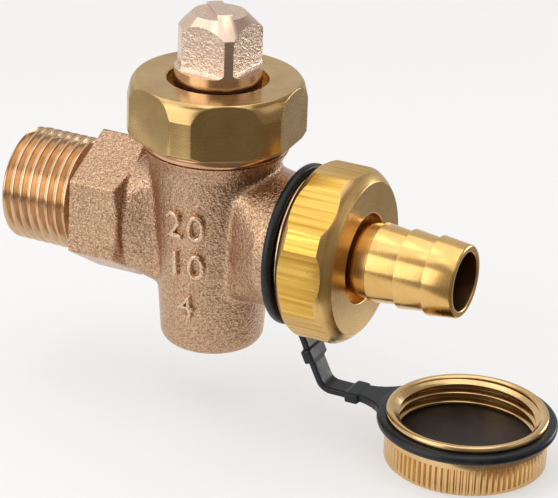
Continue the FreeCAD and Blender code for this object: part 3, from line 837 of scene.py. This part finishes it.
def plug_piece(turned_metal, cast_metal):
    """Taper plug with its port, round stem and square head, cast on the flats and turned elsewhere."""
    cone_z = PLUG_HIGH.z - (STEM_R - HEAD_TOP_R)
    blank = turned([
        (0, PLUG_LOW.z), (PLUG_BOTTOM_R, PLUG_LOW.z, 0.3), (PLUG_TOP_R, SEAT_TOP_Z, 0.2),
        (STEM_R, SEAT_TOP_Z), (STEM_R, cone_z, 0.12), (HEAD_TOP_R, PLUG_HIGH.z, 0.25), (0, PLUG_HIGH.z),
    ])
    cutters = []
    reaches = {0: HEAD_AF / 2, 90: HEAD_AF / 2, 180: HEAD_AF / 2, 270: HEAD_AF / 2, -45: LEFT_CORNER_REACH}
    for turn, reach in reaches.items():
        centre = (0, -reach - FLAT_CUT / 2, HEAD_FOOT_Z + CUT_HEIGHT / 2)
        cutters.append(block((CUT_LENGTH, FLAT_CUT, CUT_HEIGHT), centre, HEAD_TURN + turn, 0.9))
    for side in (-1, 1):
        centre = (0, side * (RIB_WIDTH + RIB_CUT) / 2, PLUG_HIGH.z - RIB_HEIGHT + CUT_HEIGHT / 2)
        cutters.append(block((CUT_LENGTH, RIB_CUT, CUT_HEIGHT), centre, HEAD_TURN - 45, 0.15))
    port = turned_x([
        (0, -PORT_HALF_LENGTH), (FLOW_BORE_R, -PORT_HALF_LENGTH), (FLOW_BORE_R, PORT_HALF_LENGTH),
        (0, PORT_HALF_LENGTH),
    ], PORT_STEPS)
    solid = carved(blank, cutters + [port])
    flats = side_directions(4, HEAD_TURN, True)
    for face in solid.faces:
        centre = face.calc_center_median()
        facing = 0.9 if centre.z > HEAD_FOOT_Z + 1.2 else 0.4
        on_flat = any(
            abs(centre.dot(flat) - HEAD_AF / 2) < 0.9 and face.normal.dot(flat) > facing for flat in flats
        )
        drop = PLUG_HIGH.z - centre.z
        in_recess = 0.3 < drop < RIB_HEIGHT + 0.2 and face.normal.z > 0.9
        face.material_index = 1 if centre.z > HEAD_FOOT_Z - 0.1 and (on_flat or in_recess) else 0
    return piece(
        "plug_key", moved(solid, x=PLUG_X), "plug", [turned_metal, cast_metal], "plug",
        PLUG_CREASE,
    )


def gland_nut_piece(material):
    """Hexagon nut with turned-off corners, a long cone and a hole for the stem."""
    bottom = GLAND_LOW.z
    top = GLAND_HIGH.z
    blank = turned([
        (GLAND_THREAD_R + 0.5, bottom), (GLAND_CORNER_R - GLAND_FOOT, bottom),
        (GLAND_CORNER_R, bottom + GLAND_FOOT),
        *reversed(shoulder(GLAND_TOP_R, GLAND_CORNER_R, top, GLAND_SHOULDER, GLAND_SWELLING)),
        (GLAND_HOLE_R, top, 0.3), (GLAND_HOLE_R, top - GLAND_ROOF), (GLAND_THREAD_R, top - GLAND_ROOF),
        (GLAND_THREAD_R, bottom + 0.5),
    ], NUT_STEPS)
    nut = cut_flats(blank, side_directions(6, GLAND_TURN, True), GLAND_AF / 2)
    softened(nut, GLAND_EDGE, GLAND_EDGE_ANGLE)
    return piece(
        "gland_nut_hex", moved(nut, x=PLUG_X), "gland_nut", [material], "gland_nut",
        NUT_CREASE,
    )


def hose_nut_piece(drawn_metal, turned_metal):
    """Octagon union nut: drawn flats and corners, turned cones and face."""
    back = HOSE_NUT_LOW.x
    face_x = HOSE_NUT_HIGH.x
    blank = turned_x([
        (HOSE_NUT_THREAD_R, back),
        *shoulder(HOSE_NUT_BACK_R, HOSE_NUT_CORNER_R, back, -HOSE_NUT_BACK_SHOULDER, HOSE_NUT_SWELLING),
        *reversed(shoulder(
            HOSE_NUT_FACE_R, HOSE_NUT_CORNER_R, face_x, HOSE_NUT_FACE_SHOULDER, HOSE_NUT_SWELLING,
        )),
        (HOSE_NUT_HOLE_R, face_x, 0.25), (HOSE_NUT_HOLE_R, face_x - HOSE_NUT_WALL),
        (HOSE_NUT_THREAD_R, face_x - HOSE_NUT_WALL),
    ], NUT_STEPS)
    nut = cut_flats(blank, side_directions(8, HOSE_NUT_TURN, False), HOSE_NUT_AF / 2)
    for face in nut.faces:
        centre = face.calc_center_median()
        outside = math.hypot(centre.y, centre.z) > HOSE_NUT_THREAD_R + 0.3
        face.material_index = 0 if outside and abs(face.normal.x) < 0.1 else 1
    softened(nut, HOSE_NUT_EDGE, HOSE_NUT_EDGE_ANGLE)
    return piece(
        "hose_nut_octagon", nut, "hose_nut", [drawn_metal, turned_metal], "hose_nut",
        NUT_CREASE,
    )


def hose_tail_piece(outside, inside):
    """Flanged tail with saw-tooth barbs."""
    wall_x = TAIL_LOW.x + TAIL_FLANGE_THICKNESS
    barbs_x = TAIL_HIGH.x - BARB_COUNT * BARB_PITCH
    profile = [
        (TAIL_BORE_R, TAIL_LOW.x), (TAIL_FLANGE_R, TAIL_LOW.x), (TAIL_FLANGE_R, wall_x),
        (TAIL_SHANK_R, wall_x), (TAIL_SHANK_R, barbs_x),
    ]
    for index in range(BARB_COUNT):
        step_x = barbs_x + index * BARB_PITCH
        profile += [(BARB_CREST_R, step_x, 0.07), (BARB_ROOT_R, step_x + BARB_PITCH)]
    profile[-1] = (BARB_ROOT_R, TAIL_HIGH.x, 0.4)
    profile.append((TAIL_BORE_R, TAIL_HIGH.x, 0.3))
    tail = turned_x(profile)
    # Faces of the bore get a near-black finish: painted shade inside the bore, not the metal's own colour
    for face in tail.faces:
        centre = face.calc_center_median()
        face.material_index = 1 if math.hypot(centre.y, centre.z) < TAIL_BORE_R + 0.05 else 0
    return piece("hose_tail_barbs", tail, "hose_tail", [outside, inside], "hose_tail")


def hidden_rings(turned_metal, packing, rubber):
    """Gland follower, packing rings and hose gasket."""
    bore_r = STEM_R + FOLLOWER_GAP
    sleeve_r = STUFFING_BOX_R - FOLLOWER_GAP
    flange_z = FOLLOWER_HIGH.z - FOLLOWER_FLANGE
    flange_r = (FOLLOWER_HIGH.x - FOLLOWER_LOW.x) / 2
    follower = turned([
        (bore_r, FOLLOWER_LOW.z, 0.2), (sleeve_r, FOLLOWER_LOW.z, 0.2), (sleeve_r, flange_z),
        (flange_r, flange_z, 0.2), (flange_r, FOLLOWER_HIGH.z, 0.2), (bore_r, FOLLOWER_HIGH.z, 0.3),
    ])
    piece(
        "follower_sleeve", moved(follower, x=PLUG_X), "gland_follower", [turned_metal],
        "gland_follower",
    )
    for node in ("packing_ring_lower", "packing_ring_upper"):
        low, high = extent(node)
        outer_r = (high.x - low.x) / 2
        inner_r = STEM_R + PACKING_GAP
        ring = turned([
            (inner_r, low.z, 0.3), (outer_r, low.z, 0.3), (outer_r, high.z, 0.3), (inner_r, high.z, 0.3),
        ])
        piece(node + "_yarn", moved(ring, x=PLUG_X), "body", [packing], node)
    gasket = turned_x([
        (GASKET_HOLE_R, GASKET_LOW.x, 0.15), (TAIL_FLANGE_R, GASKET_LOW.x, 0.3),
        (TAIL_FLANGE_R, GASKET_HIGH.x, 0.3), (GASKET_HOLE_R, GASKET_HIGH.x, 0.15),
    ])
    piece("hose_gasket_ring", gasket, "hose_tail", [rubber], "hose_gasket")


def strap_corner_x():
    """Station where the middle of the sloping run would meet the level run."""
    middle_r = (NECK_RING_R + NECK_RING_OUTER_R) / 2
    return STRAP_X + (-STRAP_Z - middle_r) * math.tan(math.radians(STRAP_SLOPE))


def strap_middle(drop):
    """Point in the middle of the sloping run, at a drop below the flow axis."""
    rise = -STRAP_Z - drop
    return Vector((strap_corner_x() - rise * math.tan(math.radians(STRAP_SLOPE)), 0, -drop))


def strap_band():
    """Flat band down the slope, round the bend and along to the cap ring."""
    slope = math.radians(STRAP_SLOPE)
    along = Vector((math.sin(slope), 0, -math.cos(slope)))
    across = Vector((math.cos(slope), 0, math.sin(slope))) * (STRAP_THICKNESS / 2)
    side = Vector((0, STRAP_WIDTH / 2, 0))
    start = strap_middle(NECK_RING_OUTER_R - 0.9)
    corner = Vector((strap_corner_x(), 0, STRAP_Z))
    tangent = STRAP_BEND_R * math.tan((math.pi / 2 - slope) / 2)
    bend_start = corner - along * tangent
    bend_end = corner + Vector((tangent, 0, 0))
    bm = bmesh.new()
    loop = [bm.verts.new(start + a * across + b * side) for a, b in ((-1, -1), (1, -1), (1, 1), (-1, 1))]
    edges = [bm.edges.new((loop[index - 1], loop[index])) for index in range(4)]
    bmesh.ops.edgeloop_fill(bm, edges=edges)
    last = extruded(bm, edges, bend_start - start)
    turn = bmesh.ops.spin(
        bm, geom=last + list({vert for edge in last for vert in edge.verts}), axis=(0, -1, 0),
        cent=bend_end + Vector((0, 0, STRAP_BEND_R)), angle=math.pi / 2 - slope, steps=STRAP_BEND_STEPS,
    )
    last = [item for item in turn["geom_last"] if isinstance(item, bmesh.types.BMEdge)]
    last = extruded(bm, last, Vector((CAP_X - CAP_RING_R - 1 - bend_end.x, 0, 0)))
    bmesh.ops.edgeloop_fill(bm, edges=last)
    bmesh.ops.remove_doubles(bm, verts=bm.verts[:], dist=1e-4)
    bmesh.ops.recalc_face_normals(bm, faces=bm.faces[:])
    return bm


def extruded(bm, edges, step):
    """Draws a loop of edges out by a step and returns the new loop."""
    result = bmesh.ops.extrude_edge_only(bm, edges=edges)
    bmesh.ops.translate(
        bm, vec=step, verts=[item for item in result["geom"] if isinstance(item, bmesh.types.BMVert)],
    )
    return [
        item for item in result["geom"]
        if isinstance(item, bmesh.types.BMEdge) and len(item.link_faces) == 1
    ]


def keeper(centre, lean):
    """Thick band round the strap, leaning in degrees about Y."""
    bm = block(KEEPER_SIZE, (0, 0, 0), rounding=0.3)
    matrix = Matrix.Rotation(math.radians(lean), 3, "Y")
    bmesh.ops.rotate(bm, cent=(0, 0, 0), matrix=matrix, verts=bm.verts[:])
    bmesh.ops.translate(bm, vec=centre, verts=bm.verts[:])
    return bm


def gusset():
    """Widening with hollow sides where the strap runs into the cap ring."""
    root_x = CAP_X - CAP_RING_OUTER_R + 1
    narrow_x = root_x - GUSSET_LENGTH
    wide_x = CAP_X - math.sqrt((CAP_RING_OUTER_R - 1) ** 2 - GUSSET_HALF_WIDTH ** 2)
    half = STRAP_WIDTH / 2
    curve = []
    for index in range(GUSSET_STEPS + 1):
        share = index / GUSSET_STEPS
        x = narrow_x + (wide_x - narrow_x) * share
        y = half + (GUSSET_HALF_WIDTH - half) * share ** GUSSET_HOLLOW
        curve.append((x, y))
    bm = bmesh.new()
    outline = curve + [(root_x + 0.3, 0)] + [(x, -y) for x, y in reversed(curve)]
    face = bm.faces.new([bm.verts.new((x, y, CAP_RING_Z - CAP_RING_HALF + 0.1)) for x, y in outline])
    result = bmesh.ops.extrude_face_region(bm, geom=[face], use_keep_orig=True)
    top = [item for item in result["geom"] if isinstance(item, bmesh.types.BMVert)]
    bmesh.ops.translate(bm, vec=(0, 0, 2 * CAP_RING_HALF - 0.2), verts=top)
    bmesh.ops.recalc_face_normals(bm, faces=bm.faces[:])
    return bm


def retaining_strap(material):
    """One rubber moulding: neck ring, band with two keepers, gusset and cap ring."""
    neck_ring = moved(turned_x([
        (NECK_RING_R, -NECK_RING_HALF, 0.3), (NECK_RING_OUTER_R, -NECK_RING_HALF, 0.7),
        (NECK_RING_OUTER_R, NECK_RING_HALF, 0.7), (NECK_RING_R, NECK_RING_HALF, 0.3),
    ]), x=STRAP_X)
    cap_ring = moved(turned([
        (CAP_RING_R, -CAP_RING_HALF, 0.2), (CAP_RING_OUTER_R, -CAP_RING_HALF, 0.75),
        (CAP_RING_OUTER_R, CAP_RING_HALF, 0.75), (CAP_RING_R, CAP_RING_HALF, 0.2),
    ]), x=CAP_X, z=CAP_RING_Z)
    upper = keeper(strap_middle(UPPER_KEEPER_DROP), 90 - STRAP_SLOPE)
    lower = keeper(Vector((strap_corner_x() + LOWER_KEEPER_RUN, 0, STRAP_Z)), 0)
    skin = fused([neck_ring, cap_ring, strap_band(), upper, lower, gusset()], STRAP_VOXEL)
    relaxed(skin, 3)
    return piece("strap_moulding", skin, "strap", [material], "retaining_strap", MOULDED_CREASE)


def screw_cap(material):
    """Turned cap, open side up: bead, groove for the strap, knurled wall and a real thread inside."""
    bottom = CAP_LOW.z
    top = CAP_HIGH.z
    steps = KNURL_RIBS * KNURL_STEPS
    groove_top = top - CAP_BEAD
    groove_foot = groove_top - CAP_GROOVE
    floor_z = bottom + CAP_FLOOR
    pocket_z = floor_z + CAP_POCKET
    blank = turned([
        (0, bottom), (CAP_R - 0.9, bottom, 0.3), (CAP_R, bottom + 0.6), (CAP_R, KNURL_TOP_Z),
        (CAP_R, KNURL_TOP_Z + 0.3), (CAP_R, groove_foot, 0.12), (CAP_GROOVE_R, groove_foot),
        (CAP_GROOVE_R, groove_top), (CAP_R, groove_top, 0.35), (CAP_R, top, 0.5),
        (CAP_THREAD_R + CAP_LEAD, top, 0.3), (CAP_THREAD_R, top - CAP_LEAD_DEPTH), (CAP_THREAD_R, pocket_z),
        (CAP_POCKET_R, pocket_z), (CAP_POCKET_R, floor_z), (0, floor_z),
    ], steps)
    for vert in blank.verts:
        on_wall = abs(math.hypot(vert.co.x, vert.co.y) - CAP_R) < 1e-3
        if on_wall and bottom + 0.5 < vert.co.z < KNURL_TOP_Z + 0.01:
            step = round(math.atan2(vert.co.y, vert.co.x) / (2 * math.pi) * steps) % KNURL_STEPS
            share = 1 - KNURL_FORM[step] * KNURL_DEPTH / CAP_R
            vert.co.x *= share
            vert.co.y *= share
    rod = threaded_rod(CAP_THREAD_R + 1.0, PIPE_DEPTH, PIPE_PITCH, pocket_z - 0.4, top - 0.3)
    cap = carved(blank, [rod])
    return piece("cap_shell", moved(cap, x=CAP_X), "cap", [material], "screw_cap")


def cap_seal(material):
    """Rubber disc on the floor of the cap."""
    radius = (SEAL_HIGH.x - SEAL_LOW.x) / 2
    disc = turned([
        (0, SEAL_LOW.z), (radius, SEAL_LOW.z, 0.2), (radius, SEAL_HIGH.z, 0.25), (0, SEAL_HIGH.z),
    ])
    return piece("cap_seal_disc", moved(disc, x=CAP_X), "cap", [material], "cap_seal")


# Stage

def place_camera():
    """Camera at the photograph's angle."""
    turn = math.radians(VIEW_TURN)
    rise = math.radians(VIEW_RISE)
    roll = math.radians(VIEW_ROLL)
    back = Vector((math.sin(turn) * math.cos(rise), -math.cos(turn) * math.cos(rise), math.sin(rise)))
    level = Vector((math.cos(turn), math.sin(turn), 0))
    upright = back.cross(level)
    right = math.cos(roll) * level + math.sin(roll) * upright
    up = -math.sin(roll) * level + math.cos(roll) * upright
    place = Vector((PLUG_X, 0, 0)) + right * VIEW_RIGHT + up * VIEW_UP + back * VIEW_DISTANCE
    lens = bpy.data.cameras.new("camera")
    lens.sensor_width = VIEW_SENSOR
    lens.lens = VIEW_LENS
    lens.clip_start = 0.01
    camera = bpy.data.objects.new("camera", lens)
    turn_matrix = Matrix((right, up, back)).transposed().to_4x4()
    camera.matrix_world = Matrix.Translation(place * MM) @ turn_matrix
    bpy.context.scene.collection.objects.link(camera)
    bpy.context.scene.camera = camera


def soft_lamp(name, place, target, size, power):
    """Square soft box; places and size in millimetres, power in watts."""
    light = bpy.data.lights.new(name, "AREA")
    light.size = size * MM
    light.energy = power
    lamp = bpy.data.objects.new(name, light)
    aim = (Vector(target) - Vector(place)).to_track_quat("-Z", "Y").to_matrix().to_4x4()
    lamp.matrix_world = Matrix.Translation(Vector(place) * MM) @ aim
    bpy.context.scene.collection.objects.link(lamp)


def floor(material):
    """Plain pale sheet just under the cap, with its edges outside the picture."""
    bm = bmesh.new()
    bmesh.ops.create_grid(bm, x_segments=1, y_segments=1, size=FLOOR_HALF_WIDTH * MM)
    for turn, reach in FLOOR_EDGES:
        outwards = Vector((math.sin(math.radians(turn)), -math.cos(math.radians(turn)), 0))
        bmesh.ops.bisect_plane(
            bm, geom=bm.verts[:] + bm.edges[:] + bm.faces[:], dist=1e-6,
            plane_co=(Vector((PLUG_X, 0, 0)) + outwards * reach) * MM, plane_no=outwards, clear_outer=True,
        )
    bmesh.ops.translate(bm, vec=(0, 0, (CAP_LOW.z - FLOOR_GAP) * MM), verts=bm.verts[:])
    mesh = bpy.data.meshes.new("floor")
    bm.to_mesh(mesh)
    bm.free()
    mesh.materials.append(material)
    obj = bpy.data.objects.new("floor", mesh)
    bpy.context.scene.collection.objects.link(obj)


def floor_finish():
    """Matt white that the camera and the metal see partly as plain white."""
    material, tree, shader = finish(
        "pale floor", 0.9, metallic=0.0, colour=(0.95, 0.95, 0.95, 1), specular=0.0,
    )
    glow = wire(tree, "ShaderNodeEmission", Color=(1, 1, 1, 1), Strength=1.0)
    path = wire(tree, "ShaderNodeLightPath")
    seen = wire(
        tree, "ShaderNodeMath", {"operation": "ADD"},
        i0=path.outputs["Is Camera Ray"], i1=path.outputs["Is Glossy Ray"],
    )
    seen = wire(
        tree, "ShaderNodeMath", {"operation": "ADD", "use_clamp": True},
        i0=seen.outputs["Value"], i1=path.outputs["Is Transmission Ray"],
    )
    share = wire(tree, "ShaderNodeMath", {"operation": "MULTIPLY"}, i0=seen.outputs["Value"], i1=FLOOR_GLOW)
    mix = wire(
        tree, "ShaderNodeMixShader", i0=share.outputs["Value"],
        i1=shader.outputs["BSDF"], i2=glow.outputs["Emission"],
    )
    tree.links.new(mix.outputs["Shader"], tree.nodes["Material Output"].inputs["Surface"])
    return material


def sky():
    """Room light: pale behind and on the left, dim and warm on the right and below."""
    world = bpy.data.worlds.new("room")
    world.use_nodes = True
    tree = world.node_tree
    background = tree.nodes["Background"]
    turn = math.radians(SKY_TURN)
    place = wire(tree, "ShaderNodeTexCoord")
    towards = wire(
        tree, "ShaderNodeVectorMath", {"operation": "DOT_PRODUCT"},
        i0=place.outputs["Generated"], i1=(math.sin(turn), -math.cos(turn), 0),
    )
    rise = wire(tree, "ShaderNodeSeparateXYZ", Vector=place.outputs["Generated"])
    side = between(tree, towards.outputs["Value"], SKY_BACK, SKY_FRONT, *SKY_SIDES)
    height = between(tree, rise.outputs["Z"], SKY_BELOW, 1.0, *SKY_HORIZON)
    strength = wire(tree, "ShaderNodeMath", {"operation": "MULTIPLY"}, i0=side, i1=height)
    tree.links.new(strength.outputs["Value"], background.inputs["Strength"])
    warmth = between(tree, towards.outputs["Value"], 0.0, 1.0, *SKY_TINT_SIDES)
    colour = blend_colours(tree, warmth, (1, 1, 1, 1), SKY_TINT, 0.0, 1.0)
    tree.links.new(colour, background.inputs["Color"])
    bpy.context.scene.world = world


def build():
    """All pieces, with their finishes."""
    origin = (0, 0, 0)
    middle = (PLUG_X * MM, 0, 0)
    cap_middle = (CAP_X * MM, 0, 0)
    cast = cast_finish("sand_cast_gunmetal", (0.36, 0.212, 0.122, 1), (0.72, 0.478, 0.308, 1), 0.28, 0.00016)
    cast_flats = cast_finish("sand_cast_flats", (0.64, 0.46, 0.34, 1), (0.95, 0.74, 0.58, 1), 0.34, 0.00007)
    crests = cast_finish("rubbed_cast_crests", (0.54, 0.35, 0.22, 1), (0.9, 0.65, 0.45, 1), 0.27, 0.00008)
    turned_gunmetal = turned_finish(
        "turned_gunmetal", (0.62, 0.35, 0.18, 1), (0.8, 0.5, 0.3, 1), 0.2, "Z", middle)
    threaded_gunmetal = turned_finish(
        "threaded_gunmetal", (0.56, 0.36, 0.2, 1), (0.76, 0.53, 0.34, 1), 0.19, "X", origin)
    turned_plug = turned_finish("turned_plug", (0.76, 0.55, 0.41, 1), (0.9, 0.7, 0.55, 1), 0.2, "Z", middle)
    gland_brass = turned_finish("gland_brass", (0.54, 0.35, 0.14, 1), (0.7, 0.47, 0.2, 1), 0.22, "Z", middle)
    drawn_brass = drawn_finish("drawn_brass", (0.5, 0.27, 0.04, 1), (0.88, 0.54, 0.12, 1), 0.26, (0.02, 1, 1))
    nut_face = turned_finish("nut_face_brass", (0.66, 0.41, 0.15, 1), (0.8, 0.52, 0.21, 1), 0.27, "X", origin)
    tail_brass = turned_finish("tail_brass", (0.76, 0.46, 0.15, 1), (0.87, 0.55, 0.2, 1), 0.2, "X", origin)
    # Near-black finish for the tail's bore: painted shade where little light reaches
    bore_painted_shade = turned_finish("bore_painted_shade", (0.12, 0.06, 0.025, 1), (0.2, 0.1, 0.04, 1), 0.45, "X", origin)
    cap_brass = turned_finish("cap_brass", (0.68, 0.45, 0.2, 1), (0.83, 0.57, 0.29, 1), 0.18, "Z", cap_middle)
    rubber = rubber_finish("strap_rubber", (0.011, 0.014, 0.018, 1), (0.02, 0.025, 0.031, 1), 0.3, 300)
    seal = rubber_finish("seal_rubber_sheet", (0.025, 0.019, 0.015, 1), (0.06, 0.047, 0.036, 1), 0.5, 120)
    packing = rubber_finish("graphited_packing", (0.03, 0.03, 0.03, 1), (0.09, 0.09, 0.09, 1), 0.6, 900)
    body_casting(cast)
    cast_numbers(crests)
    inlet_thread(threaded_gunmetal)
    gland_spigot(turned_gunmetal)
    outlet_end(threaded_gunmetal)
    plug_piece(turned_plug, cast_flats)
    gland_nut_piece(gland_brass)
    hose_nut_piece(drawn_brass, nut_face)
    hose_tail_piece(tail_brass, bore_painted_shade)
    hidden_rings(tail_brass, packing, rubber)
    retaining_strap(rubber)
    screw_cap(cap_brass)
    cap_seal(seal)


build()
place_camera()
floor(floor_finish())
sky()
for lamp_box in LAMPS:
    soft_lamp(*lamp_box)
bpy.context.scene.view_settings.view_transform = "Standard"
